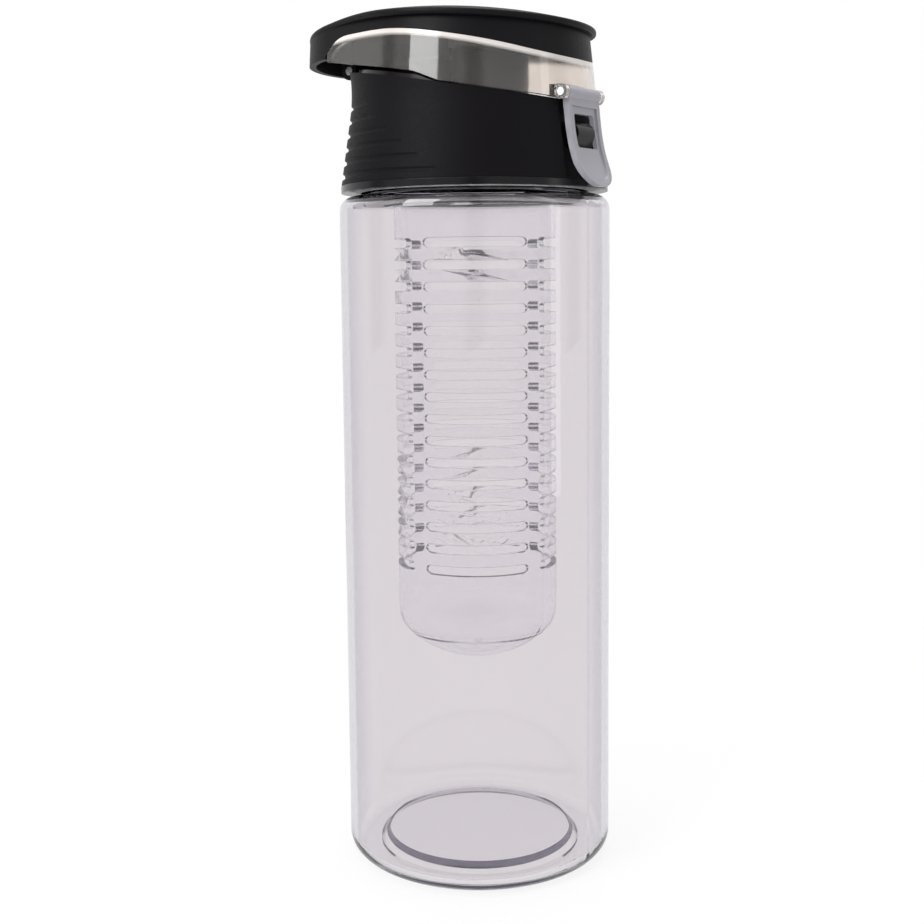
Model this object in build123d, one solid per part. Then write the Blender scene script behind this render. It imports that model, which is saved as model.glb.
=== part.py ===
from build123d import *
from math import asin, atan2, cos, degrees, radians, sin
import os

# Fruit infuser water bottle, at real size in millimetres.
# The origin is on the bottle's axis, on the surface it stands on. +Z is up.
# +X is the front, where the latch is. -X is the back, where the lid is hinged.

# Bottle body, blown clear copolyester
BODY_RADIUS = 36.5
BODY_WALL = 1.9
BODY_FLOOR = 2.4
BASE_EDGE_RADIUS = 4.5
FOOT_WIDTH = 8.7
PUSH_UP = 2.4
SHOULDER_HEIGHT = 180.5
SHOULDER_EDGE_RADIUS = 4.0
SHOULDER_WIDTH = 7.3
NECK_WALL = 2.0
NECK_LENGTH = 17.5

# Screw thread between neck and cap
THREAD_PITCH = 4.0
THREAD_DEPTH = 1.2
THREAD_ROOT_WIDTH = 1.5
THREAD_CREST_WIDTH = 0.8
THREAD_SINK = 0.3
THREAD_CLEARANCE = 0.35
NECK_THREAD_START = 6.5
NECK_THREAD_TURNS = 2
CAP_THREAD_TURNS = 1.25

# Neck gasket, soft silicone
GASKET_THICKNESS = 1.6
GASKET_WIDTH = 2.8
SOFT_GAP = 0.2

# Cap core, moulded polypropylene
CORE_WALL = 1.25
COLLAR_GAP = 0.9
FLANGE_STEP = 0.5
FLANGE_THICKNESS = 1.8
DECK_THICKNESS = 2.0
CORE_RIM_STEP = 1.3
CORE_RIM_WALL = 1.5
CORE_RIM_DROP = 0.5
MOULD_GAP = 0.05

# Grip sleeve, soft rubber moulded over the core
COLLAR_FRONT_HEIGHT = 21.5
COLLAR_BACK_HEIGHT = 33.5
SLEEVE_FOOT_STEP = 0.1
SLEEVE_WAIST_STEP = 2.8
SLEEVE_TOP_STEP = 2.6
SLEEVE_WAIST_HEIGHT = 20.1
GROOVE_COUNT = 6
GROOVE_PITCH = 3.6
GROOVE_START = 2.4
GROOVE_TUBE_RADIUS = 1.0
GROOVE_DEPTH = 0.8
GROOVE_END_DEPTH = 0.15
GROOVE_TOP_HALF_ANGLE = 69
GROOVE_ANGLE_STEP = 8.2
SEAT_STEP = 1.6
SEAT_STEP_FRONT_X = 12.0
SEAT_STEP_BACK_X = 5.0
LATCH_POCKET_WALL = 0.3
LATCH_POCKET_SIDE_GAP = 0.6

# Bayonet that carries the infuser under the deck
BAYONET_DEPTH = 10.0
BAYONET_WALL = 1.8
BAYONET_GAP = 0.5
BAYONET_LUG_COUNT = 3
BAYONET_LUG_HEIGHT = 2.5
BAYONET_LUG_DROP = 4.4
BAYONET_LUG_LENGTH = 1.9
BAYONET_LUG_ANGLE = 20
BAYONET_TURN = 30
BAYONET_SLOT_SIDE_ANGLE = 2
BAYONET_SLOT_GAP = 0.3

# Infuser basket, moulded clear copolyester
INFUSER_SIDE_SPACE = 5.2
INFUSER_WALL = 1.6
INFUSER_TOP_GAP = 0.4
INFUSER_DOME_BOTTOM = 54.0
INFUSER_DOME_SHARE = 1.27
INFUSER_CORNER_RADIUS = 9.0
SLOT_ROWS = 16
SLOT_COLUMNS = 4
SLOT_HEIGHT = 2.4
SLOT_PITCH = 5.74
SLOT_TOP = 169.0
SLOT_HALF_ANGLE = 36
SLOT_FIRST_ANGLE = -53.5
GATE_RADIUS = 1.3
GATE_LENGTH = 0.9

# Spout with its seal ring
SPOUT_X = 5.6
SPOUT_RADIUS = 10.2
SPOUT_WALL = 1.5
SPOUT_HEIGHT = 16.0
SPOUT_SLANT_RISE = 3.2
SPOUT_FLANGE_RADIUS = 12.3
SPOUT_FLANGE_THICKNESS = 1.4
SPOUT_STEM_CLEARANCE = 0.2
SPOUT_STEM_LENGTH = 3.1
SPOUT_SNAP = 0.5
SPOUT_SNAP_HEIGHT = 0.8
SPOUT_SEAL_THICKNESS = 0.8
SPOUT_SEAL_GAP = 0.1

# Vent beside the spout
VENT_X = -12.0
VENT_POST_RADIUS = 3.0
VENT_BORE_RADIUS = 1.2
VENT_POST_HEIGHT = 12.0
VALVE_WALL = 1.4
VALVE_HEIGHT = 15.0
VALVE_LIFT = 1.0
VALVE_ROUND = 1.0

# Hinge block on the core, and the hinge
HINGE_STEP = 2.7
HINGE_RISE = 34.9
HINGE_PIN_RADIUS = 1.2
HINGE_KNUCKLE_RADIUS = 2.5
HINGE_LUG_HALF_WIDTH = 4.5
HINGE_SIDE_GAP = 0.3
HINGE_KNUCKLE_WIDTH = 5.0
KNUCKLE_WEB_HEIGHT = 9.5
PIN_FIT = 0.05
TOWER_INSET = 0.9
TOWER_LENGTH = 6.0
TOWER_HALF_WIDTH = 5.0
TOWER_RISE = 17.0
TOWER_ROUND = 1.5
LUG_ROOT_DROP = 6.0

# Cover: teardrop in plan, clear wall below, black top above
COVER_STEP = 0.1
COVER_TAPER = 2.9
COVER_RISE = 26.6
COVER_WALL = 1.8
COVER_SEAT_GAP = 0.3
BEAK_SETBACK_SHARE = 0.727
BEAK_STEP = 6.3
BEAK_TAPER = 1.4
LIP_STEP = 0.4
LIP_BEAK_STEP = 1.0
LIP_ROUND = 0.7
LIP_HEIGHT = 1.7
CROWN_RADIUS = 148.0
CROWN_X = -10.0
ROOF_THICKNESS = 2.2
SHELL_BACK_INSET = 3.8
COVER_EDGE_SHARES = (
    (1.09, 0.387), (0.931, 0.425), (0.751, 0.492), (0.45, 0.579), (0.06, 0.665), (-0.315, 0.708),
    (-0.56, 0.718), (-0.74, 0.698), (-0.85, 0.62), (-0.92, 0.532),
)
LAP_HEIGHT = 1.8
LAP_WALL = 1.2
LAP_GAP = 0.15
LAP_ROOT = 1.5
JOINT_LINE = 0.05

# Silicone plug under the cover that closes the spout
PLUG_RADIUS = 11.3
PLUG_THICKNESS = 2.4
PLUG_GAP = 0.3
PLUG_NOSE_CLEARANCE = 1.0
PLUG_NOSE_LENGTH = 1.4
PLUG_NOSE_TAPER = 1.0
PLUG_BOSS_RADIUS = 9.5

# Latch on the front of the cover. Its shape is given as locked, and it rests sprung a little outwards
LATCH_PIN_STEP = 0.3
LATCH_PIN_RISE = 23.3
LATCH_PIN_RADIUS = 1.0
LATCH_KNUCKLE_RADIUS = 1.9
LATCH_HALF_WIDTH = 7.3
LATCH_EAR_WIDTH = 1.5
LATCH_SIDE_GAP = 0.3
LATCH_RECESS_GAP = 0.4
LATCH_SETBACK = 0.5
LATCH_THICKNESS = 1.7
LATCH_DROP = 23.8
LATCH_FLARE = 4.2
LATCH_PROFILE_SHARES = ((0, 0.1), (0.06, 0.34), (0.22, 0.58), (0.5, 0.77), (0.84, 0.92), (1, 1))
LATCH_SILL_SHARES = LATCH_PROFILE_SHARES[2]
LATCH_CORNER_RADIUS = 6.5
LATCH_RIM_WIDTH = 1.5
LATCH_RIM_DEPTH = 0.5
WINDOW_HALF_WIDTH = 4.6
WINDOW_HEIGHT = 8.6
WINDOW_CORNER_RADIUS = 0.8
LATCH_REST_ANGLE = 4

# Catch nub on the core that the latch window drops over
NUB_HALF_WIDTH = 3.9
NUB_HEIGHT = 6.6
NUB_GAP = 0.4
NUB_LIP = 2.5
NUB_REACH = 3.7
NUB_CHAMFER_SHARE = 0.45
NUB_SHOULDER_SHARES = (0.86, 0.78)
NUB_WINDOW_GAP = 0.3

# One overrun for every cut
OVERRUN = 5.0

# Radii and places that follow from the body's radius
foot_inner_radius = BODY_RADIUS - FOOT_WIDTH
neck_radius = BODY_RADIUS - SHOULDER_WIDTH
neck_bore = neck_radius - NECK_WALL
cap_bore = neck_radius + THREAD_DEPTH + THREAD_CLEARANCE
core_radius = cap_bore + CORE_WALL
core_rim_radius = core_radius - CORE_RIM_STEP
flange_radius = BODY_RADIUS - FLANGE_STEP
sleeve_foot_radius = flange_radius - SLEEVE_FOOT_STEP
sleeve_waist_radius = flange_radius - SLEEVE_WAIST_STEP
sleeve_top_radius = flange_radius - SLEEVE_TOP_STEP
latch_pocket_x = core_radius + LATCH_POCKET_WALL
infuser_radius = neck_bore - INFUSER_SIDE_SPACE
infuser_dome_radius = infuser_radius * INFUSER_DOME_SHARE
cover_foot_radius = sleeve_top_radius - COVER_STEP
beak_setback = cover_foot_radius * BEAK_SETBACK_SHARE
beak_foot_radius = cover_foot_radius - BEAK_STEP
lip_radius = cover_foot_radius - LIP_STEP
lip_beak_radius = beak_foot_radius - LIP_BEAK_STEP
shell_back_x = SHELL_BACK_INSET - cover_foot_radius
hinge_x = -cover_foot_radius - HINGE_STEP
tower_back_x = TOWER_INSET - core_rim_radius
tower_front_x = tower_back_x + TOWER_LENGTH
latch_pin_x = cover_foot_radius + LATCH_PIN_STEP
spout_bore = SPOUT_RADIUS - SPOUT_WALL
reach = BODY_RADIUS + BODY_RADIUS

# Heights that follow from the sizes above
neck_top = SHOULDER_HEIGHT + NECK_LENGTH
collar_bottom = SHOULDER_HEIGHT + COLLAR_GAP
sleeve_bottom = collar_bottom + FLANGE_THICKNESS
deck_under = neck_top + GASKET_THICKNESS + SOFT_GAP + SOFT_GAP
deck_top = deck_under + DECK_THICKNESS
collar_front = collar_bottom + COLLAR_FRONT_HEIGHT
collar_back = collar_bottom + COLLAR_BACK_HEIGHT
collar_middle = (collar_front + collar_back) / 2
collar_slope = (collar_back - collar_front) / (sleeve_top_radius + sleeve_top_radius)
crest = collar_front + COVER_RISE
hinge_z = collar_bottom + HINGE_RISE
latch_pin_z = collar_bottom + LATCH_PIN_RISE
latch_sill = latch_pin_z - LATCH_DROP * LATCH_SILL_SHARES[1]
spout_rim = deck_top + SPOUT_HEIGHT


def side_slab(*edges, half_width=reach):
    """Solid with the given outline in the XZ plane, as wide as asked to both sides of the middle."""
    outline = make_face(Curve(edges).wires()[0])
    return extrude(Plane.XZ * outline, amount=half_width, both=True)


def side_polygon(*points, half_width=reach):
    return extrude(Plane.XZ * make_face(Polyline(*points, close=True)), amount=half_width, both=True)


def ring(outer, inner, low, high):
    """Round ring about the bottle's axis."""
    disc = Circle(outer) - Circle(inner) if inner else Circle(outer)
    return extrude(Plane.XY.offset(low) * disc, amount=high - low)


def disc_at(x, radius, low, high):
    return extrude(Plane((x, 0, low)) * Circle(radius), amount=high - low)


def cross_rod(x, z, radius, y_low, y_high):
    """Round rod parallel to Y, for pins, knuckles and their holes."""
    start = Plane((x, y_low, z), x_dir=(1, 0, 0), z_dir=(0, 1, 0))
    return extrude(start * Circle(radius), amount=y_high - y_low)


def sector(outer, inner, middle_angle, half_angle, low, high):
    """Part of a ring, between two angles about the bottle's axis."""
    start, end = middle_angle - half_angle, middle_angle + half_angle
    outline = Curve([
        CenterArc((0, 0), outer, start, end - start),
        CenterArc((0, 0), inner, start, end - start),
        Line(polar(inner, start), polar(outer, start)),
        Line(polar(inner, end), polar(outer, end)),
    ])
    return extrude(Plane.XY.offset(low) * make_face(outline), amount=high - low)


def polar(radius, angle):
    return Vector(radius, 0).rotate(Axis.Z, angle)


def thread_ridge(root_radius, outwards, start_z, turns):
    """Right-hand thread ridge that stands out of a round wall, or into a bore where outwards is -1."""
    tip = root_radius + outwards * THREAD_DEPTH
    root = root_radius - outwards * THREAD_SINK
    profile = Polyline(
        (root, -THREAD_ROOT_WIDTH / 2), (tip, -THREAD_CREST_WIDTH / 2),
        (tip, THREAD_CREST_WIDTH / 2), (root, THREAD_ROOT_WIDTH / 2), close=True,
    )
    face = Pos(0, 0, start_z) * (Plane.XZ * make_face(profile))
    rise = THREAD_PITCH * turns
    path = Helix(pitch=THREAD_PITCH, height=rise, radius=root_radius, center=(0, 0, start_z))
    return sweep(face, path=path, is_frenet=True)


def above_collar_plane(gap=0):
    """Everything above the slanted top of the collar, with a gap above it."""
    low_front = collar_middle - collar_slope * reach + gap
    low_back = collar_middle + collar_slope * reach + gap
    top = crest + reach
    return side_polygon((reach, low_front), (-reach, low_back), (-reach, top), (reach, top))


def above_seat(gap):
    """Everything above the line the clear wall sits over: the collar's top, stepped up behind."""
    raised = gap + SEAT_STEP
    corners = [(reach, gap), (SEAT_STEP_FRONT_X, gap), (SEAT_STEP_BACK_X, raised), (-reach, raised)]
    line = [(x, collar_middle - collar_slope * x + rise) for x, rise in corners]
    return side_polygon(*line, (-reach, crest + reach), (reach, crest + reach))


def edge_points(shift):
    """Joint line between clear wall and black top, seen from the side."""
    return [
        (cover_foot_radius * x_share, collar_front + COVER_RISE * z_share + shift)
        for x_share, z_share in COVER_EDGE_SHARES
    ]


def above_joint_line(shift=0):
    """Everything above the joint line, which runs on level under the beak."""
    curve = edge_points(shift)
    front, back = curve[0], curve[-1]
    top = crest + reach
    outline = Polyline(back, (-reach, back[1]), (-reach, top), (reach, top), (reach, front[1]), front)
    return side_slab(Spline(*curve), *outline.edges())


def cover_plan(front_radius, beak_radius, z):
    """Teardrop outline: round at the front, narrowing straight to a round beak behind."""
    lean = asin((front_radius - beak_radius) / beak_setback)
    front = (-front_radius * sin(lean), front_radius * cos(lean))
    back = (-beak_setback - beak_radius * sin(lean), beak_radius * cos(lean))
    outline = Curve([
        ThreePointArc((front[0], -front[1]), (front_radius, 0), front),
        Line(front, back),
        ThreePointArc(back, (-beak_setback - beak_radius, 0), (back[0], -back[1])),
        Line((back[0], -back[1]), (front[0], -front[1])),
    ])
    return Plane.XY.offset(z) * make_face(outline)


def cover_block(inset):
    """The cover's tapered outer form, or the space inside a wall of the given thickness."""
    low, high = collar_front - OVERRUN, crest + OVERRUN
    sections = []
    for z in (low, high):
        share = (z - collar_front) / COVER_RISE
        front, beak = cover_foot_radius - COVER_TAPER * share, beak_foot_radius - BEAK_TAPER * share
        sections.append(cover_plan(front - inset, beak - inset, z))
    return loft(sections, ruled=True)


def crown(drop):
    """Everything under the cover's domed top, lowered by the given amount."""
    return Pos(CROWN_X, 0, crest - CROWN_RADIUS) * Sphere(CROWN_RADIUS - drop)


def behind(x):
    """Everything behind the given X."""
    low, high = collar_bottom - reach, crest + reach
    return side_polygon((x, low), (x, high), (-reach - reach, high), (-reach - reach, low))


def spout_plane(gap):
    """Slanted plane of the spout's rim, raised by a gap along its normal."""
    slant = degrees(atan2(SPOUT_SLANT_RISE, SPOUT_RADIUS + SPOUT_RADIUS))
    return (Plane((SPOUT_X, 0, spout_rim)).rotated((0, slant, 0))).offset(gap)


def swing_out(shape, angle):
    """Turn a piece outwards about the latch pin."""
    return shape.rotate(Axis((latch_pin_x, 0, latch_pin_z), (0, -1, 0)), angle)


def make_bottle_body():
    inner_radius = BODY_RADIUS - BODY_WALL
    shoulder_under = SHOULDER_HEIGHT - BODY_WALL
    foot_slope_inner = foot_inner_radius - PUSH_UP
    outline = Plane.XZ * make_face(Polyline(
        (0, PUSH_UP), (foot_slope_inner, PUSH_UP), (foot_inner_radius, 0), (BODY_RADIUS, 0),
        (BODY_RADIUS, SHOULDER_HEIGHT), (neck_radius, SHOULDER_HEIGHT), (neck_radius, neck_top),
        (neck_bore, neck_top), (neck_bore, shoulder_under), (inner_radius, shoulder_under),
        (inner_radius, BODY_FLOOR), (foot_inner_radius, BODY_FLOOR),
        (foot_slope_inner, PUSH_UP + BODY_FLOOR), (0, PUSH_UP + BODY_FLOOR), close=True,
    ))

    def corner(x, z):
        return outline.vertices().sort_by_distance((x, 0, z))[0]

    outline = fillet(corner(BODY_RADIUS, 0), BASE_EDGE_RADIUS)
    outline = fillet(corner(BODY_RADIUS, SHOULDER_HEIGHT), SHOULDER_EDGE_RADIUS)
    outline = fillet(corner(inner_radius, BODY_FLOOR), BASE_EDGE_RADIUS - BODY_WALL)
    outline = fillet(corner(inner_radius, shoulder_under), SHOULDER_EDGE_RADIUS - BODY_WALL)
    for x in (neck_radius, neck_bore):
        outline = fillet(corner(x, neck_top), NECK_WALL / 3)
    body = revolve(outline, axis=Axis.Z)
    return body + thread_ridge(neck_radius, 1, SHOULDER_HEIGHT + NECK_THREAD_START, NECK_THREAD_TURNS)


def make_neck_gasket():
    low = neck_top + SOFT_GAP
    return ring(neck_bore + GASKET_WIDTH, neck_bore, low, low + GASKET_THICKNESS)


def make_catch_nub():
    """Hook on the front of the cap, with a lead-in below and a rounded top."""
    low = latch_sill + NUB_GAP
    root = core_radius - CORE_WALL / 2
    shoulder_x, shoulder_z = NUB_SHOULDER_SHARES
    tip = (core_radius + NUB_REACH, low + NUB_HEIGHT * NUB_CHAMFER_SHARE)
    top = (root, low + NUB_HEIGHT)
    edges = Polyline(top, (root, low), (core_radius + NUB_LIP, low), tip).edges()
    shoulder = (core_radius + NUB_REACH * shoulder_x, low + NUB_HEIGHT * shoulder_z)
    crown_arc = ThreePointArc(tip, shoulder, top)
    return side_slab(crown_arc, *edges, half_width=NUB_HALF_WIDTH)


def make_hinge_block():
    """Raised block behind the spout, and the lug that carries the cover's hinge pin."""
    top = deck_top + TOWER_RISE
    tower = side_polygon(
        (tower_back_x, deck_top - DECK_THICKNESS / 2), (tower_back_x, top), (tower_front_x, top),
        (tower_front_x, deck_top - DECK_THICKNESS / 2), half_width=TOWER_HALF_WIDTH,
    )
    tower = fillet(tower.faces().sort_by(Axis.Z)[-1].edges(), TOWER_ROUND)
    web = side_polygon(
        (tower_back_x, hinge_z - LUG_ROOT_DROP), (hinge_x, hinge_z - HINGE_KNUCKLE_RADIUS),
        (hinge_x, hinge_z), (tower_back_x, hinge_z - HINGE_PIN_RADIUS), half_width=HINGE_LUG_HALF_WIDTH,
    )
    lug = cross_rod(hinge_x, hinge_z, HINGE_KNUCKLE_RADIUS, -HINGE_LUG_HALF_WIDTH, HINGE_LUG_HALF_WIDTH)
    return tower + web + lug


def bayonet_angles():
    return [turn * 360 / BAYONET_LUG_COUNT for turn in range(BAYONET_LUG_COUNT)]


def make_cap_core():
    bayonet_inner = infuser_radius + BAYONET_GAP
    bayonet_outer = bayonet_inner + BAYONET_WALL
    core = ring(core_radius, cap_bore, collar_bottom, deck_top)
    core += ring(flange_radius, cap_bore, collar_bottom, sleeve_bottom)
    core += ring(core_radius, 0, deck_under, deck_top)
    core += ring(bayonet_outer, bayonet_inner, deck_under - BAYONET_DEPTH, deck_under + DECK_THICKNESS / 2)
    rim_top = collar_back + SEAT_STEP
    rim = ring(core_rim_radius, core_rim_radius - CORE_RIM_WALL, deck_under + DECK_THICKNESS / 2, rim_top)
    core += rim - above_seat(-CORE_RIM_DROP)
    core += make_hinge_block()
    core += make_catch_nub()
    core += disc_at(VENT_X, VENT_POST_RADIUS, deck_under + DECK_THICKNESS / 2, deck_top + VENT_POST_HEIGHT)
    thread_z = SHOULDER_HEIGHT + NECK_THREAD_START + THREAD_PITCH / 2
    core += thread_ridge(cap_bore, -1, thread_z, CAP_THREAD_TURNS)
    core -= disc_at(SPOUT_X, spout_bore + SPOUT_WALL, deck_under - OVERRUN, deck_top + OVERRUN)
    core -= disc_at(VENT_X, VENT_BORE_RADIUS, deck_under - OVERRUN, deck_top + VENT_POST_HEIGHT + OVERRUN)
    hole_half = HINGE_LUG_HALF_WIDTH + OVERRUN
    core -= cross_rod(hinge_x, hinge_z, HINGE_PIN_RADIUS + PIN_FIT, -hole_half, hole_half)

    lug_top = deck_under - BAYONET_LUG_DROP + BAYONET_SLOT_GAP
    lug_bottom = deck_under - BAYONET_LUG_DROP - BAYONET_LUG_HEIGHT - BAYONET_SLOT_GAP
    side = BAYONET_LUG_ANGLE / 2 + BAYONET_SLOT_SIDE_ANGLE
    outer, inner = bayonet_outer + BAYONET_WALL / 2, bayonet_inner - BAYONET_GAP / 2
    for angle in bayonet_angles():
        core -= sector(outer, inner, angle + BAYONET_TURN / 2, side + BAYONET_TURN / 2, lug_bottom, lug_top)
        entry_low = deck_under - BAYONET_DEPTH - OVERRUN
        core -= sector(outer, inner, angle + BAYONET_TURN, side, entry_low, lug_top)
    return core


def make_grip_sleeve():
    foot = Vector(sleeve_foot_radius, sleeve_bottom + MOULD_GAP)
    waist = Vector(sleeve_waist_radius, collar_bottom + SLEEVE_WAIST_HEIGHT)
    top = Vector(sleeve_top_radius, collar_back + COVER_SEAT_GAP)
    flank = [Line(foot, waist), TangentArc(waist, top, tangent=waist - foot)]
    inner, upper_inner = core_radius + MOULD_GAP, core_rim_radius + MOULD_GAP
    step_z = deck_top + MOULD_GAP
    rest = Polyline(
        top, (upper_inner, top.Y), (upper_inner, step_z), (inner, step_z), (inner, foot.Y), foot)
    sleeve = revolve(Plane.XZ * make_face(Curve([*flank, *rest.edges()]).wires()[0]), axis=Axis.Z)
    sleeve -= above_collar_plane()

    # Each groove is struck about a point in front of the axis, so it grows shallow towards its ends
    for number in range(GROOVE_COUNT):
        z = sleeve_bottom + GROOVE_START + GROOVE_PITCH * number
        wall = foot.X + (waist.X - foot.X) * (z - foot.Y) / (waist.Y - foot.Y)
        half_angle = GROOVE_TOP_HALF_ANGLE + GROOVE_ANGLE_STEP * (GROOVE_COUNT - 1 - number)
        tube_x = wall + GROOVE_TUBE_RADIUS - GROOVE_DEPTH
        drift = (GROOVE_DEPTH - GROOVE_END_DEPTH) / (1 - cos(radians(half_angle)))
        tube = Plane.XZ * Pos(tube_x + drift, z) * Circle(GROOVE_TUBE_RADIUS)
        groove = revolve(tube, axis=Axis.Z, revolution_arc=half_angle + half_angle)
        sleeve -= Pos(drift, 0, 0) * groove.rotate(Axis.Z, 180 - half_angle)

    sleeve -= side_polygon(
        (latch_pocket_x, collar_bottom), (flange_radius + OVERRUN, collar_bottom),
        (flange_radius + OVERRUN, crest), (latch_pocket_x, crest),
        half_width=LATCH_HALF_WIDTH + LATCH_POCKET_SIDE_GAP,
    )
    nub_low = latch_sill + NUB_GAP - NUB_WINDOW_GAP
    nub_high = nub_low + NUB_HEIGHT + NUB_WINDOW_GAP + NUB_WINDOW_GAP
    sleeve -= side_polygon(
        (cap_bore, nub_low), (flange_radius + OVERRUN, nub_low),
        (flange_radius + OVERRUN, nub_high), (cap_bore, nub_high),
        half_width=NUB_HALF_WIDTH + NUB_WINDOW_GAP,
    )
    lug_low = hinge_z - LUG_ROOT_DROP - OVERRUN / 2
    return sleeve - side_polygon(
        (tower_back_x, lug_low), (hinge_x, lug_low), (hinge_x, crest), (tower_back_x, crest),
        half_width=HINGE_LUG_HALF_WIDTH + HINGE_SIDE_GAP,
    )


def make_spout():
    seal_top = deck_top + SPOUT_SEAL_GAP + SPOUT_SEAL_THICKNESS
    stem_radius = SPOUT_RADIUS - SPOUT_STEM_CLEARANCE
    flange_low = seal_top + SPOUT_SEAL_GAP
    flange_high = flange_low + SPOUT_FLANGE_THICKNESS
    top = spout_rim + SPOUT_SLANT_RISE
    spout = disc_at(SPOUT_X, SPOUT_RADIUS, flange_low, top)
    spout += disc_at(SPOUT_X, SPOUT_FLANGE_RADIUS, flange_low, flange_high)
    spout += disc_at(SPOUT_X, stem_radius, deck_top - SPOUT_STEM_LENGTH, flange_high)
    snap_high = deck_under - SPOUT_SEAL_GAP
    spout += disc_at(SPOUT_X, stem_radius + SPOUT_SNAP, snap_high - SPOUT_SNAP_HEIGHT, snap_high)
    spout -= disc_at(SPOUT_X, spout_bore, deck_under - OVERRUN, top + OVERRUN)
    above_rim = extrude(spout_plane(0) * Circle(SPOUT_FLANGE_RADIUS), amount=SPOUT_HEIGHT)
    spout -= above_rim
    rim = spout.faces().sort_by(Axis.Z)[-1]
    return fillet(rim.edges(), SPOUT_WALL / 3)


def make_spout_seal_ring():
    low = deck_top + SPOUT_SEAL_GAP
    high = low + SPOUT_SEAL_THICKNESS
    outer = disc_at(SPOUT_X, SPOUT_FLANGE_RADIUS - SPOUT_SEAL_GAP, low, high)
    return outer - disc_at(SPOUT_X, SPOUT_RADIUS, low - OVERRUN, high + OVERRUN)


def make_vent_valve():
    low = deck_top + VALVE_LIFT
    radius = VENT_POST_RADIUS + SOFT_GAP + VALVE_WALL
    valve = disc_at(VENT_X, radius, low, low + VALVE_HEIGHT)
    valve = fillet(valve.faces().sort_by(Axis.Z)[-1].edges(), VALVE_ROUND)
    post_top = deck_top + VENT_POST_HEIGHT + SOFT_GAP
    return valve - disc_at(VENT_X, VENT_POST_RADIUS + SOFT_GAP, low - OVERRUN, post_top)


def make_infuser_basket():
    top = deck_under - INFUSER_TOP_GAP
    inner = infuser_radius - INFUSER_WALL
    floor = INFUSER_DOME_BOTTOM + INFUSER_WALL
    dome_centre = INFUSER_DOME_BOTTOM + infuser_dome_radius
    lines = []
    corners = []
    outer_and_inner = (
        (infuser_radius, infuser_dome_radius), (inner, infuser_dome_radius - INFUSER_WALL),
    )
    for radius, dome_radius in outer_and_inner:
        spread = degrees(asin(radius / dome_radius))
        dome = CenterArc((0, dome_centre), dome_radius, 270, spread)
        corners.append(dome @ 1)
        lines += [dome, Line(dome @ 1, (radius, top))]
    lines += [Line((infuser_radius, top), (inner, top)), Line((0, floor), (0, INFUSER_DOME_BOTTOM))]
    outline = Plane.XZ * make_face(Curve(lines).wires()[0])
    corner_radii = (INFUSER_CORNER_RADIUS, INFUSER_CORNER_RADIUS - INFUSER_WALL)
    for corner, corner_radius in zip(corners, corner_radii):
        outline = fillet(outline.vertices().sort_by_distance((corner.X, 0, corner.Y))[0], corner_radius)
    basket = revolve(outline, axis=Axis.Z)
    basket += ring(GATE_RADIUS, 0, INFUSER_DOME_BOTTOM - GATE_LENGTH, floor - INFUSER_WALL / 2)

    lug_top = deck_under - BAYONET_LUG_DROP
    for angle in bayonet_angles():
        basket += sector(
            infuser_radius + BAYONET_LUG_LENGTH, inner + INFUSER_WALL / 2, angle,
            BAYONET_LUG_ANGLE / 2, lug_top - BAYONET_LUG_HEIGHT, lug_top,
        )

    # Each column of slots is drawn by one side core, so its slots have parallel ends
    slot_width = infuser_radius * sin(radians(SLOT_HALF_ANGLE)) * 2
    core_start = inner * cos(radians(SLOT_HALF_ANGLE)) - INFUSER_WALL
    for row in range(SLOT_ROWS):
        z = SLOT_TOP - SLOT_HEIGHT / 2 - SLOT_PITCH * row
        for column in range(SLOT_COLUMNS):
            angle = SLOT_FIRST_ANGLE + column * 360 / SLOT_COLUMNS
            start = polar(core_start, angle) + Vector(0, 0, z)
            plane = Plane(start, x_dir=polar(1, angle + 90), z_dir=polar(1, angle))
            basket -= extrude(plane * SlotOverall(slot_width, SLOT_HEIGHT), amount=infuser_radius)
    return basket


def make_cover_shell():
    below_line = cover_block(0) - above_joint_line(-JOINT_LINE)
    shell = below_line - cover_block(COVER_WALL)
    lap_inner = cover_block(COVER_WALL + LAP_GAP + LAP_WALL)
    over_root = above_joint_line(-LAP_ROOT)
    shell += (below_line & over_root) - lap_inner
    shell += ((cover_block(COVER_WALL + LAP_GAP) & over_root) - lap_inner) - above_joint_line(LAP_HEIGHT)
    shell = (shell & above_seat(COVER_SEAT_GAP)) - behind(shell_back_x)

    # Two ears at the front carry the latch pin, with the latch's barrel between them
    ear_in = LATCH_HALF_WIDTH + LATCH_SIDE_GAP
    ear_out = ear_in + LATCH_EAR_WIDTH
    web_x = cover_foot_radius - COVER_WALL - COVER_WALL
    web_low, web_high = latch_pin_z - LATCH_KNUCKLE_RADIUS / 2, latch_pin_z + LATCH_KNUCKLE_RADIUS
    shell += cross_rod(latch_pin_x, latch_pin_z, LATCH_KNUCKLE_RADIUS, -ear_out, ear_out)
    shell += side_polygon(
        (web_x, web_low), (latch_pin_x, web_low), (latch_pin_x, web_high), (web_x, web_high),
        half_width=ear_out,
    )
    shell -= cross_rod(latch_pin_x, latch_pin_z, LATCH_KNUCKLE_RADIUS + LATCH_RECESS_GAP, -ear_in, ear_in)
    return shell - cross_rod(latch_pin_x, latch_pin_z, LATCH_PIN_RADIUS + PIN_FIT, -ear_out, ear_out)


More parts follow.
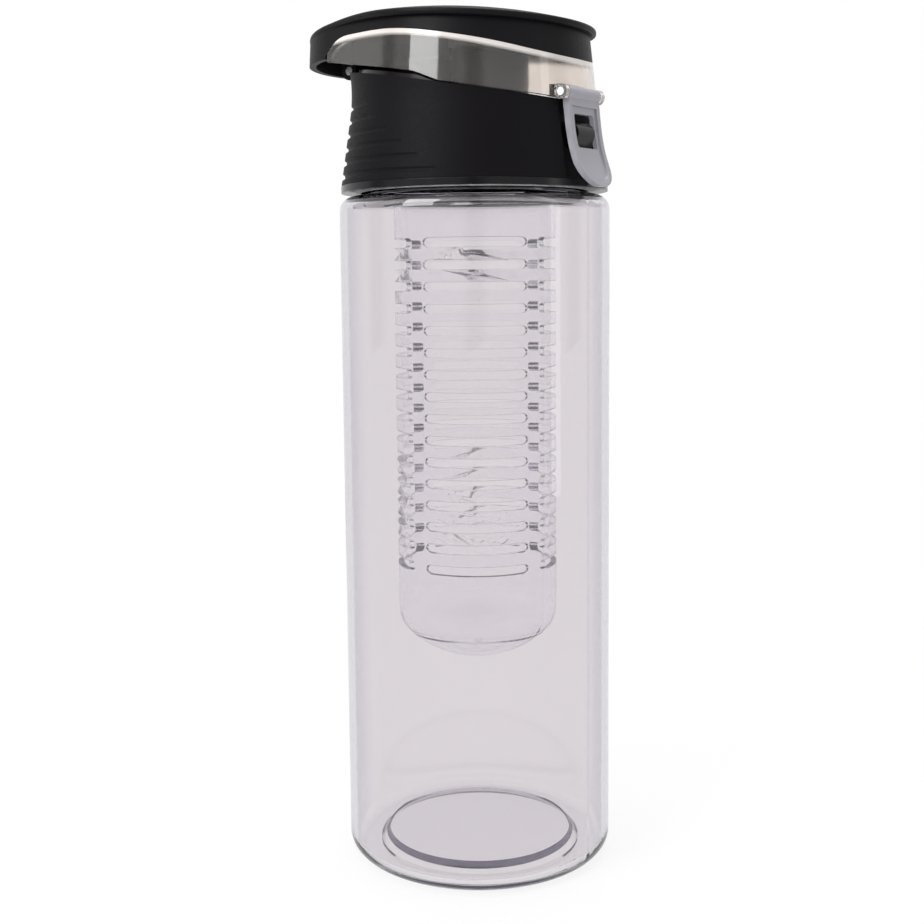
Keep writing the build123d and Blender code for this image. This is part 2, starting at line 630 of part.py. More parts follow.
def make_cover_top():
    top = (cover_block(0) & above_joint_line()) & crown(0)
    plate_low = collar_front
    plate = extrude(cover_plan(lip_radius, lip_beak_radius, plate_low), amount=crest + OVERRUN - plate_low)
    plate = (plate - crown(LIP_HEIGHT)) & crown(0)
    rims = plate.edges().filter_by(lambda edge: edge.bounding_box().size.X > lip_radius / 2)
    plate = fillet(rims, LIP_ROUND)
    hollow = cover_block(COVER_WALL) & crown(ROOF_THICKNESS)
    plug_back = spout_plane(PLUG_GAP + PLUG_THICKNESS + JOINT_LINE)
    boss = extrude(plug_back * Circle(PLUG_BOSS_RADIUS), amount=COVER_RISE)
    boss = boss & crown(ROOF_THICKNESS / 2)
    top = top + plate - hollow + boss

    knuckle_in = HINGE_LUG_HALF_WIDTH + HINGE_SIDE_GAP
    knuckle_out = knuckle_in + HINGE_KNUCKLE_WIDTH
    x_low, x_high = hinge_x - HINGE_KNUCKLE_RADIUS, hinge_x + HINGE_KNUCKLE_RADIUS
    web_top = hinge_z + KNUCKLE_WEB_HEIGHT
    knuckles = cross_rod(hinge_x, hinge_z, HINGE_KNUCKLE_RADIUS, -knuckle_out, knuckle_out)
    knuckles += side_polygon(
        (x_low, hinge_z), (x_high, hinge_z), (x_high, web_top), (x_low, web_top), half_width=knuckle_out)
    top += knuckles
    top -= cross_rod(hinge_x, hinge_z, HINGE_KNUCKLE_RADIUS + HINGE_SIDE_GAP, -knuckle_in, knuckle_in)
    return top - cross_rod(hinge_x, hinge_z, HINGE_PIN_RADIUS + PIN_FIT, -knuckle_out, knuckle_out)


def make_spout_plug():
    plug = extrude(spout_plane(PLUG_GAP) * Circle(PLUG_RADIUS), amount=PLUG_THICKNESS)
    nose_radius = spout_bore - PLUG_NOSE_CLEARANCE
    nose = loft([
        spout_plane(PLUG_GAP + PLUG_THICKNESS / 2) * Circle(nose_radius),
        spout_plane(PLUG_GAP - PLUG_NOSE_LENGTH) * Circle(nose_radius - PLUG_NOSE_TAPER),
    ])
    return plug + nose


def make_hinge_pin():
    half = HINGE_LUG_HALF_WIDTH + HINGE_SIDE_GAP + HINGE_KNUCKLE_WIDTH
    return cross_rod(hinge_x, hinge_z, HINGE_PIN_RADIUS, -half, half)


def make_latch_pin():
    half = LATCH_HALF_WIDTH + LATCH_SIDE_GAP + LATCH_EAR_WIDTH
    return cross_rod(latch_pin_x, latch_pin_z, LATCH_PIN_RADIUS, -half, half)


def latch_profile(thin):
    """Side view of the latch's panel as locked, with its outer face set back by the given amount."""
    inner_x = latch_pin_x - LATCH_SETBACK
    inner = [
        (inner_x + LATCH_FLARE * out, latch_pin_z - LATCH_DROP * down)
        for out, down in LATCH_PROFILE_SHARES
    ]
    outer = [(x + LATCH_THICKNESS - thin, z) for x, z in inner]
    return Spline(*inner), Spline(*outer), Line(inner[0], outer[0]), Line(inner[-1], outer[-1])


def latch_front(inset, low):
    """Front view of the latch, straight at the top with round lower corners."""
    half = LATCH_HALF_WIDTH - inset
    high = latch_pin_z + LATCH_KNUCKLE_RADIUS
    corners = [(-half, low), (half, low), (half, high), (-half, high)]
    outline = Plane.YZ * make_face(Polyline(*corners, close=True))
    outline = fillet(outline.vertices().group_by(Axis.Z)[0], LATCH_CORNER_RADIUS - inset)
    return extrude(outline, amount=flange_radius + BODY_RADIUS)


def make_latch():
    bottom = latch_pin_z - LATCH_DROP
    latch = side_slab(*latch_profile(0), half_width=LATCH_HALF_WIDTH) & latch_front(0, bottom)
    latch += cross_rod(latch_pin_x, latch_pin_z, LATCH_KNUCKLE_RADIUS, -LATCH_HALF_WIDTH, LATCH_HALF_WIDTH)
    arm_x = latch_pin_x - LATCH_SETBACK
    arm_low = latch_pin_z - LATCH_DROP * LATCH_PROFILE_SHARES[0][1] - LATCH_THICKNESS
    latch += side_polygon(
        (arm_x, arm_low), (arm_x + LATCH_THICKNESS, arm_low), (arm_x + LATCH_THICKNESS, latch_pin_z),
        (arm_x, latch_pin_z), half_width=LATCH_HALF_WIDTH,
    )

    recess = side_slab(*latch_profile(LATCH_RIM_DEPTH - LATCH_THICKNESS), half_width=LATCH_HALF_WIDTH)
    recess -= side_slab(*latch_profile(LATCH_RIM_DEPTH), half_width=LATCH_HALF_WIDTH)
    recess = recess & latch_front(LATCH_RIM_WIDTH, bottom + LATCH_RIM_WIDTH)
    ceiling = latch_pin_z - LATCH_KNUCKLE_RADIUS - LATCH_RIM_WIDTH
    latch -= recess - side_polygon((0, ceiling), (reach, ceiling), (reach, crest), (0, crest))

    opening = Plane.YZ * Pos(0, latch_sill + WINDOW_HEIGHT / 2) * RectangleRounded(
        WINDOW_HALF_WIDTH + WINDOW_HALF_WIDTH, WINDOW_HEIGHT, WINDOW_CORNER_RADIUS)
    latch -= extrude(opening, amount=flange_radius + BODY_RADIUS)
    hole_radius = LATCH_PIN_RADIUS + PIN_FIT
    latch -= cross_rod(latch_pin_x, latch_pin_z, hole_radius, -LATCH_HALF_WIDTH, LATCH_HALF_WIDTH)
    return swing_out(latch, LATCH_REST_ANGLE)


nodes = {
    "bottle_body": make_bottle_body,
    "neck_gasket": make_neck_gasket,
    "cap_core": make_cap_core,
    "grip_sleeve": make_grip_sleeve,
    "spout": make_spout,
    "spout_seal_ring": make_spout_seal_ring,
    "vent_valve": make_vent_valve,
    "infuser_basket": make_infuser_basket,
    "cover_shell": make_cover_shell,
    "cover_top": make_cover_top,
    "spout_plug": make_spout_plug,
    "hinge_pin": make_hinge_pin,
    "latch": make_latch,
    "latch_pin": make_latch_pin,
}

os.makedirs("parts", exist_ok=True)
for name, make in nodes.items():
    export_step(make(), f"parts/{name}.step")
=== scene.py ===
from math import pi, radians

import bmesh
import bpy
from bpy.props import FloatProperty, FloatVectorProperty, PointerProperty
from mathutils import Matrix, Vector


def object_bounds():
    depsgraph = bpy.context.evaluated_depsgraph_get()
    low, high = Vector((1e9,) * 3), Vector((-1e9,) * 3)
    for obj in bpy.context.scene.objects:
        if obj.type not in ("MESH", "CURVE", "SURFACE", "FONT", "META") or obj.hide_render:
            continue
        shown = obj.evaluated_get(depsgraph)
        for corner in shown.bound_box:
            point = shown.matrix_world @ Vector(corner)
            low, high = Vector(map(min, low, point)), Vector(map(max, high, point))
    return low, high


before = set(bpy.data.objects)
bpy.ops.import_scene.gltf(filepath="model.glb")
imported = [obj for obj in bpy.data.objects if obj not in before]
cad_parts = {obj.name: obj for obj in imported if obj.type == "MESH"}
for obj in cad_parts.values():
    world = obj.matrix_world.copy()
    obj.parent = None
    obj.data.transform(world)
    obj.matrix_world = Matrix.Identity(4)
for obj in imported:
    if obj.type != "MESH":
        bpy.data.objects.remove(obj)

bl_info = {
    "name": "Fruit Infuser Bottle",
    "version": (1, 0, 0),
    "blender": (4, 5, 0),
    "location": "3D View > Sidebar > Infuser Bottle",
    "description": "Finishes, stage and camera for a clear bottle with an infuser basket and a flip cover",
    "category": "Object",
}

# The CAD model's box, whose foot sets the floor's height
cad_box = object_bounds()

# Height of the joint between clear wall and black top, in metres, as a parabola over X
JOINT_HEIGHT, JOINT_SLOPE, JOINT_BEND = 0.22084, -0.1192, -3.056

# Refractive index of each plastic
COPOLYESTER_INDEX = 1.57
POLYCARBONATE_INDEX = 1.585
POLYPROPYLENE_INDEX = 1.49
RUBBER_INDEX = 1.5
SILICONE_INDEX = 1.41

# Blender absorbs light per metre, so this density makes a tint the light left after about 10 mm
TINT_DENSITY = 100

# Nearly all of a noise texture lies between these two values
NOISE_LOW, NOISE_HIGH = 0.3, 0.7

# How far a wall is turned edge on, from 0 to 1, where its painted rim shade starts and where it is full
PAINTED_RIM_START, PAINTED_RIM_FULL = 0.5, 0.9

# The depth of a grain is given in micrometres
MICRON = 0.000001

# The floor lies a hair below the bottle's foot, so that the two faces don't flicker
FLOOR_GAP = 0.0001

# Light crosses four clear walls, each with two faces, and runs along inside them before it leaves
CLEAR_BOUNCES, GLOSS_BOUNCES = 32, 16

# The lamps, in metres and watts, with X to the right of the picture and Y away from the camera:
# a key from the upper left, a strip on the right for the long highlight, and a soft top light
LAMPS = {
    "key": {"place": (-0.55, -0.5, 0.55), "size": (0.4, 0.5), "watts": 5},
    "strip": {"place": (0.56, -0.22, 0.2), "size": (0.1, 1.4), "watts": 0.6},
    "top": {"place": (0, 0.1, 0.8), "size": (0.5, 0.5), "watts": 4},
}
LAMP_AIM = (0, 0, 0.12)


def linear(hex_colour):
    """An sRGB colour written as six hex digits, as linear red, green and blue."""
    shares = [int(hex_colour[i:i + 2], 16) / 255 for i in (0, 2, 4)]
    return [s / 12.92 if s <= 0.04045 else ((s + 0.055) / 1.055) ** 2.4 for s in shares]


def colour(name, description, hex_colour):
    """A colour that a user can change in the panel."""
    return FloatVectorProperty(
        name=name, description=description, subtype="COLOR", size=3, min=0, max=1,
        default=linear(hex_colour),
    )


def length(name, description, millimetres):
    """A size that a user can change, stored in metres."""
    return FloatProperty(
        name=name, description=description, subtype="DISTANCE", unit="LENGTH", min=0,
        default=millimetres / 1000, precision=5,
    )


def angle(name, description, degrees):
    """An angle that a user can change, stored in radians."""
    return FloatProperty(
        name=name, description=description, subtype="ANGLE", unit="ROTATION", default=radians(degrees),
    )


class INFUSER_PG_finishes(bpy.types.PropertyGroup):
    """Colours and grain sizes of the bottle's plastics, rubber and steel"""

    body_shade: colour("Body shade", "Light that one wall of the body lets through", "F1EEEF")
    # Painted shade: a darker base colour for the body where its wall is seen edge on, mixed in by how far the
    # wall is turned away
    body_painted_edge_shade: colour("Body rim", "The same where the wall is seen edge on", "B4B0BE")
    body_tint: colour("Body tint", "Light left after 10 mm of the body's copolyester", "DAD8E1")
    basket_tint: colour("Basket tint", "Light left after 10 mm of the basket's copolyester", "EAE8F0")
    cover_shade: colour("Cover shade", "Light that the cover's clear wall lets through", "F6F0EB")
    cover_tint: colour("Cover tint", "Light left after 10 mm of the cover's polycarbonate", "CBC2BB")
    latch_haze: colour("Latch haze", "Milky colour of the rubbed latch", "C2C1CA")
    rubber: colour("Sleeve", "Soft-touch rubber of the grip sleeve", "0A080B")
    satin_black: colour("Cover top", "Spark-eroded black polypropylene", "0B090C")
    gloss_black: colour("Cap core", "Polished black polypropylene", "0C0B0D")
    silicone: colour("Silicone", "Gasket, seal ring and plug", "8C8C8E")
    steel: colour("Steel", "Drawn stainless pins", "C4C4C6")

    # Sizes in millimetres. A grain too fine to show in a picture is drawn coarser than it really is
    blow_wave: length("Blowing waves", "Width of the soft waves in the blown wall", 14)
    flow_wave: length("Flow waves", "Width of the flow waves in moulded clear plastic", 9)
    spark_grain: length("Spark grain", "Grain of the spark-eroded mould, 0.2 mm, drawn coarser to show", 0.45)
    rubber_grain: length("Rubber grain", "Tooth of the rubber, 0.1 mm, drawn coarser to show", 0.5)
    polish_wave: length("Polish waves", "Soft waves left by polishing the mould", 3)
    draw_line: length("Drawing lines", "Lines along a drawn pin, 0.05 mm, drawn coarser to show", 0.2)
    weld_width: length("Weld width", "Milky band where the clear wall meets the black top", 1.8)
    soft_edge: length("Edge rounding", "How far the light rounds off a moulded edge", 0.25)


class INFUSER_PG_studio(bpy.types.PropertyGroup):
    """Floor, light and camera"""

    floor_colour: colour("Floor", "Pale floor", "F0F0F0")
    floor_size: length("Floor size", "Side of the square floor", 4000)
    camera_azimuth: angle("Camera azimuth", "Turn about the bottle, from its side view", 36.55)
    camera_distance: length("Camera distance", "From the bottle's axis", 357.5)
    camera_height: length("Camera height", "Above the floor", 160)
    camera_tilt: angle("Camera tilt", "Below the horizon", 5.68)
    camera_turn: angle("Camera turn", "Away from the bottle's axis, to the left", 0.624)
    camera_roll: angle("Camera roll", "Lean of the camera", 0.541)
    sensor: FloatProperty(
        name="Sensor", description="Width of the sensor in mm", unit="CAMERA", default=36)
    lens: FloatProperty(
        name="Lens", description="Focal length in mm", unit="CAMERA", default=50.74)
    shift: FloatProperty(
        name="Shift", description="Moves the view up, or down below zero, by a share of the frame",
        default=-0.065)


def add_node(tree, kind, values=(), links=(), **settings):
    """Add a node with its settings, socket values and incoming links.

    A link given as a node uses its first output."""
    node = tree.nodes.new(kind)
    for setting, value in settings.items():
        setattr(node, setting, value)
    for socket, value in dict(values).items():
        node.inputs[socket].default_value = value
    for socket, source in dict(links).items():
        output = source.outputs[0] if hasattr(source, "outputs") else source
        tree.links.new(output, node.inputs[socket])
    return node


def bare_tree(owner):
    """The node tree of a new material or world, emptied."""
    owner.use_nodes = True
    owner.node_tree.nodes.clear()
    return owner.node_tree


def surface(name, values, grain, depth, gloss, stretch=(1, 1, 1), shades=None, rim=None, edge=0, tint=None):
    """A material whose grain has a real size, lifts the surface by its depth and varies the roughness.

    Two shades are mixed by the grain, or two rim colours from square on to edge on, the second being painted
    shade that darkens the wall seen edge on. Edge rounds the light off the moulded edges, and tint is the
    light that 10 mm of clear plastic lets through."""
    material = bpy.data.materials.new(name)
    tree = bare_tree(material)
    place = add_node(tree, "ShaderNodeTexCoord")
    spread = add_node(tree, "ShaderNodeMapping", {"Scale": stretch}, {"Vector": place.outputs["Object"]})
    noise = add_node(
        tree, "ShaderNodeTexNoise", {"Scale": 1 / grain, "Detail": 3, "Roughness": 0.55}, {"Vector": spread})
    smoothest, roughest = gloss
    sheen = add_node(
        tree, "ShaderNodeMapRange",
        {"From Min": NOISE_LOW, "From Max": NOISE_HIGH, "To Min": smoothest, "To Max": roughest},
        {"Value": noise})
    lift = {"Height": noise}
    if edge:
        lift["Normal"] = add_node(tree, "ShaderNodeBevel", {"Radius": edge}, samples=4)
    links = {
        "Roughness": sheen,
        "Normal": add_node(tree, "ShaderNodeBump", {"Strength": 1, "Distance": depth * MICRON}, lift),
    }
    if shades:
        links["Base Color"] = add_node(
            tree, "ShaderNodeMixRGB", {"Color1": (*shades[0], 1), "Color2": (*shades[1], 1)}, {"Fac": noise})
    # The rim colours are painted shade: the base colour darkens from the first to the second as the wall
    # turns edge on
    if rim:
        facing = add_node(tree, "ShaderNodeLayerWeight", {"Blend": 0.5})
        glance = add_node(
            tree, "ShaderNodeMapRange", {"From Min": PAINTED_RIM_START, "From Max": PAINTED_RIM_FULL},
            {"Value": facing.outputs["Facing"]})
        links["Base Color"] = add_node(
            tree, "ShaderNodeMixRGB", {"Color1": (*rim[0], 1), "Color2": (*rim[1], 1)}, {"Fac": glance})
    ends = {"Surface": add_node(tree, "ShaderNodeBsdfPrincipled", values, links)}
    if tint:
        ends["Volume"] = add_node(
            tree, "ShaderNodeVolumeAbsorption", {"Color": (*tint, 1), "Density": TINT_DENSITY})
    add_node(tree, "ShaderNodeOutputMaterial", {}, ends)
    return material


def milky_joint(material, width, milkiness):
    """Let less light through where the clear wall meets the black top, along the joint's curve."""
    tree = material.node_tree
    place = add_node(tree, "ShaderNodeTexCoord")
    part = add_node(tree, "ShaderNodeSeparateXYZ", {}, {0: place.outputs["Object"]})
    slope = add_node(
        tree, "ShaderNodeMath", {1: JOINT_BEND, 2: JOINT_SLOPE}, {0: part.outputs["X"]},
        operation="MULTIPLY_ADD")
    line = add_node(
        tree, "ShaderNodeMath", {2: JOINT_HEIGHT}, {0: slope, 1: part.outputs["X"]},
        operation="MULTIPLY_ADD")
    below = add_node(tree, "ShaderNodeMath", {}, {0: line, 1: part.outputs["Z"]}, operation="SUBTRACT")
    clearness = add_node(
        tree, "ShaderNodeMapRange",
        {"From Min": width / 2, "From Max": width, "To Min": 1 - milkiness, "To Max": 1}, {"Value": below})
    principled = tree.nodes["Principled BSDF"]
    tree.links.new(clearness.outputs["Result"], principled.inputs["Transmission Weight"])


def lighter(shade, share):
    """The same colour, lighter by a share."""
    return [min(1, part * (1 + share)) for part in shade]


def dress(material, *nodes):
    """Give CAD nodes their material."""
    for node in nodes:
        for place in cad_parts[node].material_slots:
            place.material = material


class INFUSER_OT_body(bpy.types.Operator):
    """Give the body its blown copolyester"""

    bl_idname = "infuser.body"
    bl_label = "Bottle body"

    def execute(self, context):
        made = context.scene.infuser_finishes
        # Copolyester, stretch blown: clear as glass, with soft waves and a lilac cast in its thick edges,
        # partly from the tint it absorbs along the longer path and partly painted shade, a darker base colour
        # where the wall is seen edge on
        dress(surface(
            "blown_copolyester",
            {"Transmission Weight": 1, "IOR": COPOLYESTER_INDEX},
            made.blow_wave, depth=20, gloss=(0.01, 0.02), stretch=(1, 1, 0.5),
            rim=(made.body_shade, made.body_painted_edge_shade), tint=made.body_tint,
        ), "bottle_body")
        return {"FINISHED"}


class INFUSER_OT_basket(bpy.types.Operator):
    """Give the infuser basket its moulded copolyester"""

    bl_idname = "infuser.basket"
    bl_label = "Infuser basket"

    def execute(self, context):
        made = context.scene.infuser_finishes
        # Copolyester, injection moulded: clear, with flow waves that run up from the gate in the dome
        dress(surface(
            "moulded_copolyester",
            {"Base Color": (1, 1, 1, 1), "Transmission Weight": 1, "IOR": COPOLYESTER_INDEX},
            made.flow_wave, depth=10, gloss=(0.02, 0.04), stretch=(1, 1, 0.3), edge=made.soft_edge,
            tint=made.basket_tint,
        ), "infuser_basket")
        return {"FINISHED"}


class INFUSER_OT_cap(bpy.types.Operator):
    """Give the screw cap its polished core and soft grip sleeve"""

    bl_idname = "infuser.cap"
    bl_label = "Screw cap"

    def execute(self, context):
        made = context.scene.infuser_finishes
        # Polypropylene, moulded in a polished tool: deep black with sharp highlights, a little wavy
        dress(surface(
            "polished_polypropylene",
            {"IOR": POLYPROPYLENE_INDEX, "Specular IOR Level": 0.22},
            made.polish_wave, depth=10, gloss=(0.14, 0.24),
            shades=(made.gloss_black, lighter(made.gloss_black, 0.3)), edge=made.soft_edge,
        ), "cap_core")
        # Thermoplastic rubber, moulded over the core: matte, with a fine tooth that spreads the light
        dress(surface(
            "soft_touch_rubber",
            {"IOR": RUBBER_INDEX, "Specular IOR Level": 0.08},
            made.rubber_grain, depth=20, gloss=(0.46, 0.6),
            shades=(made.rubber, lighter(made.rubber, 0.25)), edge=made.soft_edge,
        ), "grip_sleeve", "vent_valve")
        return {"FINISHED"}


class INFUSER_OT_spout(bpy.types.Operator):
    """Give the spout, its seals and the plug their plastics"""

    bl_idname = "infuser.spout"
    bl_label = "Spout and seals"

    def execute(self, context):
        made = context.scene.infuser_finishes
        # Polypropylene, moulded in a finely blasted tool: black and smooth to the lips, with a soft shine
        dress(surface(
            "blasted_polypropylene",
            {"IOR": POLYPROPYLENE_INDEX, "Specular IOR Level": 0.4},
            made.spark_grain, depth=8, gloss=(0.3, 0.42),
            shades=(made.satin_black, lighter(made.satin_black, 0.3)), edge=made.soft_edge,
        ), "spout")
        # Silicone rubber, moulded: grey and matte, a little light passes below its surface
        dress(surface(
            "moulded_silicone",
            {"IOR": SILICONE_INDEX, "Subsurface Weight": 0.15, "Subsurface Scale": 0.001},
            made.rubber_grain, depth=10, gloss=(0.42, 0.55),
            shades=(made.silicone, lighter(made.silicone, 0.1)),
        ), "neck_gasket", "spout_seal_ring", "spout_plug")
        return {"FINISHED"}


class INFUSER_OT_cover(bpy.types.Operator):
    """Give the flip cover its clear wall and black top"""

    bl_idname = "infuser.cover"
    bl_label = "Flip cover"

    def execute(self, context):
        made = context.scene.infuser_finishes
        # Polycarbonate, injection moulded: clear, with a warm grey cast, and milky where the top is welded on
        clear = surface(
            "moulded_polycarbonate",
            {"Base Color": (*made.cover_shade, 1), "IOR": POLYCARBONATE_INDEX},
            made.flow_wave, depth=20, gloss=(0.05, 0.1), tint=made.cover_tint,
        )
        milky_joint(clear, made.weld_width, milkiness=0.7)
        dress(clear, "cover_shell")
        # Polypropylene, moulded in a spark-eroded tool: black, with an even grain and a wide dull highlight
        dress(surface(
            "spark_eroded_polypropylene",
            {"IOR": POLYPROPYLENE_INDEX, "Specular IOR Level": 0.12},
            made.spark_grain, depth=20, gloss=(0.42, 0.54),
            shades=(made.satin_black, lighter(made.satin_black, 0.3)), edge=made.soft_edge,
        ), "cover_top")
        return {"FINISHED"}


class INFUSER_OT_latch(bpy.types.Operator):
    """Give the latch its rubbed polycarbonate and the pins their steel"""

    bl_idname = "infuser.latch"
    bl_label = "Latch and pins"

    def execute(self, context):
        made = context.scene.infuser_finishes
        # Polycarbonate, injection moulded and rubbed by fingers: clear at the thick rim, milky on the panel
        dress(surface(
            "rubbed_polycarbonate",
            {"Base Color": (*made.latch_haze, 1), "Transmission Weight": 0.55, "IOR": POLYCARBONATE_INDEX},
            made.flow_wave / 3, depth=20, gloss=(0.1, 0.24), edge=made.soft_edge, tint=made.cover_tint,
        ), "latch")
        # Stainless steel, cold drawn: fine lines along the pin
        dress(surface(
            "drawn_stainless_steel",
            {"Metallic": 1},
            made.draw_line, depth=5, gloss=(0.34, 0.48), stretch=(1, 0.05, 1),
            shades=(made.steel, lighter(made.steel, 0.1)),
        ), "hinge_pin", "latch_pin")
        return {"FINISHED"}


def lay_floor(scene, studio):
    """Pale floor. The camera sees it white, with a part of the bottle's shadow left in."""
    shadow_white, shadow_radius, white_radius = 0.86, 0.05, 0.3
    white_through_plastic, white_in_gloss = 0.3, 0.9
    squares = 40
    specks_per_metre = 300

    mesh = bpy.data.meshes.new("floor")
    shape = bmesh.new()
    bmesh.ops.create_grid(shape, x_segments=squares, y_segments=squares, size=studio.floor_size / 2)
    shape.to_mesh(mesh)
    shape.free()
    floor = bpy.data.objects.new("floor", mesh)
    floor.location.z = cad_box[0].z - FLOOR_GAP
    scene.collection.objects.link(floor)

    material = bpy.data.materials.new("painted_floor")
    tree = bare_tree(material)
    ray = add_node(tree, "ShaderNodeLightPath")
    place = add_node(tree, "ShaderNodeTexCoord")
    away = add_node(tree, "ShaderNodeVectorMath", {}, {0: place.outputs["Object"]}, operation="LENGTH")
    share = add_node(
        tree, "ShaderNodeMapRange",
        {"From Min": shadow_radius, "From Max": white_radius, "To Min": shadow_white, "To Max": 1},
        {"Value": away.outputs["Value"]}, interpolation_type="SMOOTHSTEP")
    direct = add_node(
        tree, "ShaderNodeMath", {}, {0: ray.outputs["Is Camera Ray"], 1: share}, operation="MULTIPLY")
    # A power below 1 leaves less of the shadow in the floor seen through clear plastic
    through = add_node(tree, "ShaderNodeMath", {1: white_through_plastic}, {0: share}, operation="POWER")
    through = add_node(
        tree, "ShaderNodeMath", {}, {0: ray.outputs["Is Transmission Ray"], 1: through},
        operation="MULTIPLY")
    gloss = add_node(
        tree, "ShaderNodeMath", {1: white_in_gloss}, {0: ray.outputs["Is Glossy Ray"]},
        operation="MULTIPLY")
    seen = add_node(tree, "ShaderNodeMath", {}, {0: direct, 1: through}, operation="MAXIMUM")
    seen = add_node(tree, "ShaderNodeMath", {}, {0: seen, 1: gloss}, operation="MAXIMUM")
    speck = add_node(
        tree, "ShaderNodeTexNoise", {"Scale": specks_per_metre, "Detail": 2},
        {"Vector": place.outputs["Object"]})
    bump = add_node(tree, "ShaderNodeBump", {"Distance": 20 * MICRON}, {"Height": speck})
    paint = add_node(
        tree, "ShaderNodeBsdfPrincipled", {"Base Color": (*studio.floor_colour, 1), "Roughness": 0.7},
        {"Normal": bump})
    glow = add_node(tree, "ShaderNodeEmission", {"Color": (1, 1, 1, 1), "Strength": 1})
    mixed = add_node(tree, "ShaderNodeMixShader", {}, {0: seen, 1: paint, 2: glow})
    add_node(tree, "ShaderNodeOutputMaterial", {}, {"Surface": mixed})
    floor.data.materials.append(material)


def light_world(scene, studio):
    """White all round for the camera and through the clear plastic. Gloss sees panels with darker gaps."""
    gap_level, panel_level, dim_level = 0.3, 1, 0.6
    gap_edge, panel_edge = 0.1, 0.45

    world = bpy.data.worlds.new("studio")
    scene.world = world
    tree = bare_tree(world)
    place = add_node(tree, "ShaderNodeTexCoord")
    way = add_node(tree, "ShaderNodeSeparateXYZ", {}, {0: place.outputs["Generated"]})
    turn = add_node(
        tree, "ShaderNodeMath", {}, {0: way.outputs["Y"], 1: way.outputs["X"]}, operation="ARCTAN2")
    lean = add_node(tree, "ShaderNodeMath", {1: pi / 2 - studio.camera_azimuth}, {0: turn}, operation="ADD")
    fold = add_node(tree, "ShaderNodeMath", {1: 2}, {0: lean}, operation="MULTIPLY")
    wave = add_node(tree, "ShaderNodeMath", {}, {0: fold}, operation="SINE")
    wave = add_node(tree, "ShaderNodeMath", {}, {0: wave}, operation="ABSOLUTE")
    panels = add_node(
        tree, "ShaderNodeMapRange",
        {"From Min": gap_edge, "From Max": panel_edge, "To Min": gap_level, "To Max": panel_level},
        {"Value": wave}, interpolation_type="SMOOTHSTEP")
    ray = add_node(tree, "ShaderNodeLightPath")
    seen = add_node(
        tree, "ShaderNodeMath", {},
        {0: ray.outputs["Is Camera Ray"], 1: ray.outputs["Is Transmission Ray"]}, operation="MAXIMUM")
    round_about = add_node(
        tree, "ShaderNodeMix", {"A": dim_level}, {"Factor": ray.outputs["Is Glossy Ray"], "B": panels})
    level = add_node(tree, "ShaderNodeMix", {"B": 1}, {"Factor": seen, "A": round_about})
    back = add_node(tree, "ShaderNodeBackground", {"Color": (1, 1, 1, 1)}, {"Strength": level})
    add_node(tree, "ShaderNodeOutputWorld", {}, {"Surface": back})


def softbox(name, place, aim, size, watts):
    """A rectangular lamp that shows in gloss, but not to the camera or through clear plastic."""
    lamp = bpy.data.lights.new(name, "AREA")
    lamp.shape = "RECTANGLE"
    lamp.size, lamp.size_y = size
    lamp.energy = watts
    light = bpy.data.objects.new(name, lamp)
    light.location = place
    light.rotation_euler = (Vector(aim) - Vector(place)).to_track_quat("-Z", "Y").to_euler()
    light.visible_camera = False
    light.visible_transmission = False
    bpy.context.scene.collection.objects.link(light)


def hang_lamps(studio):
    """Hang the lamps, turned with the camera."""
    turned = Matrix.Rotation(studio.camera_azimuth, 3, "Z")
    for name, lamp in LAMPS.items():
        softbox(name, turned @ Vector(lamp["place"]), LAMP_AIM, lamp["size"], lamp["watts"])


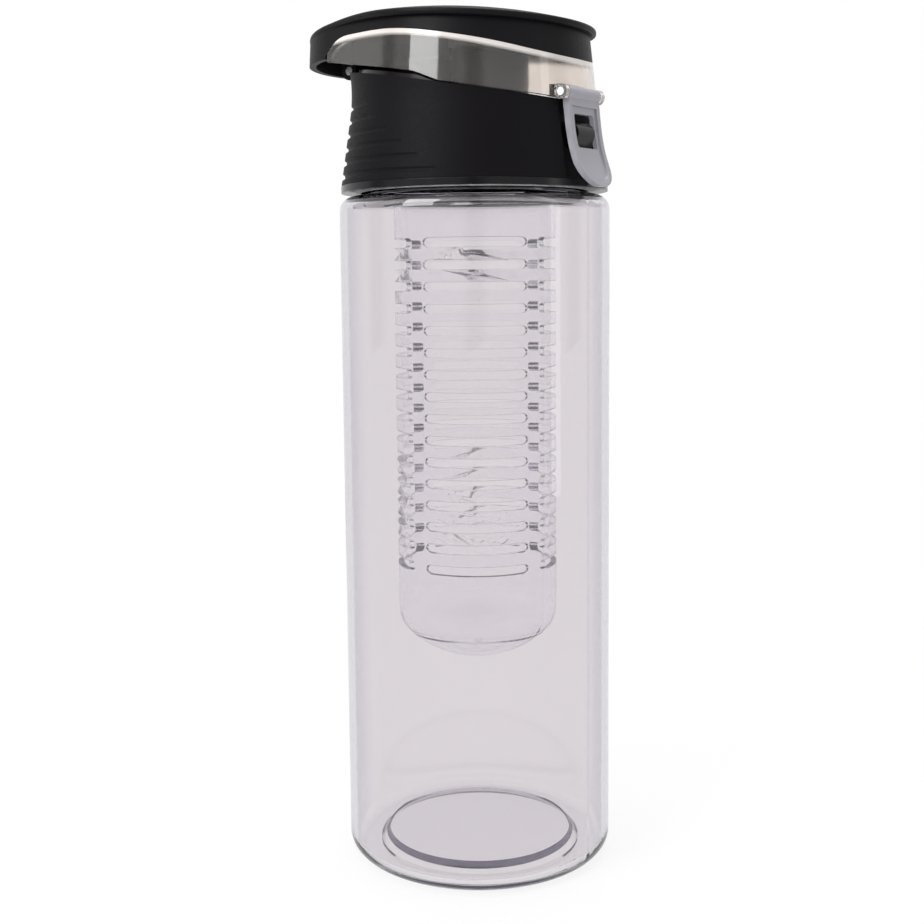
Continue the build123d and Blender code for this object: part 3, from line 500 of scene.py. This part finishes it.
def place_camera(scene, studio):
    """Stand the camera where the photograph was taken from."""
    camera = bpy.data.cameras.new("camera")
    camera.sensor_width = studio.sensor
    camera.lens = studio.lens
    camera.shift_y = studio.shift
    eye = bpy.data.objects.new("camera", camera)
    turned = Matrix.Rotation(studio.camera_azimuth, 3, "Z")
    eye.location = turned @ Vector((0, -studio.camera_distance, studio.camera_height))
    eye.rotation_euler = (
        Matrix.Rotation(studio.camera_azimuth + studio.camera_turn, 3, "Z")
        @ Matrix.Rotation(pi / 2 - studio.camera_tilt, 3, "X")
        @ Matrix.Rotation(-studio.camera_roll, 3, "Z")
    ).to_euler()
    scene.collection.objects.link(eye)
    scene.camera = eye
    scene.view_settings.view_transform = "Standard"


class INFUSER_OT_stage(bpy.types.Operator):
    """Lay the pale floor, hang the lights and set up the camera"""

    bl_idname = "infuser.stage"
    bl_label = "Stage"

    def execute(self, context):
        scene = context.scene
        studio = scene.infuser_studio
        lay_floor(scene, studio)
        light_world(scene, studio)
        hang_lamps(studio)
        place_camera(scene, studio)
        scene.cycles.max_bounces = CLEAR_BOUNCES
        scene.cycles.transmission_bounces = CLEAR_BOUNCES
        scene.cycles.glossy_bounces = GLOSS_BOUNCES
        return {"FINISHED"}


class INFUSER_PT_panel(bpy.types.Panel):
    """Lists the bottle's steps, finishes and studio"""

    bl_idname = "INFUSER_PT_panel"
    bl_label = "Infuser Bottle"
    bl_space_type = "VIEW_3D"
    bl_region_type = "UI"
    bl_category = "Infuser Bottle"

    def draw(self, context):
        for step in steps:
            self.layout.operator(step.bl_idname)
        for group in (context.scene.infuser_finishes, context.scene.infuser_studio):
            for name in type(group).__annotations__:
                self.layout.prop(group, name)


steps = (
    INFUSER_OT_body, INFUSER_OT_basket, INFUSER_OT_cap, INFUSER_OT_spout, INFUSER_OT_cover,
    INFUSER_OT_latch, INFUSER_OT_stage,
)
classes = (INFUSER_PG_finishes, INFUSER_PG_studio, *steps, INFUSER_PT_panel)


def register():
    """Add the bottle's operators, panel and properties to Blender."""
    for made in classes:
        bpy.utils.register_class(made)
    bpy.types.Scene.infuser_finishes = PointerProperty(type=INFUSER_PG_finishes)
    bpy.types.Scene.infuser_studio = PointerProperty(type=INFUSER_PG_studio)


def unregister():
    """Take them out again."""
    del bpy.types.Scene.infuser_finishes
    del bpy.types.Scene.infuser_studio
    for made in reversed(classes):
        bpy.utils.unregister_class(made)


def main():
    """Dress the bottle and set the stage."""
    register()
    bpy.ops.infuser.body()
    bpy.ops.infuser.basket()
    bpy.ops.infuser.cap()
    bpy.ops.infuser.spout()
    bpy.ops.infuser.cover()
    bpy.ops.infuser.latch()
    bpy.ops.infuser.stage()


if __name__ == "__main__":
    main()
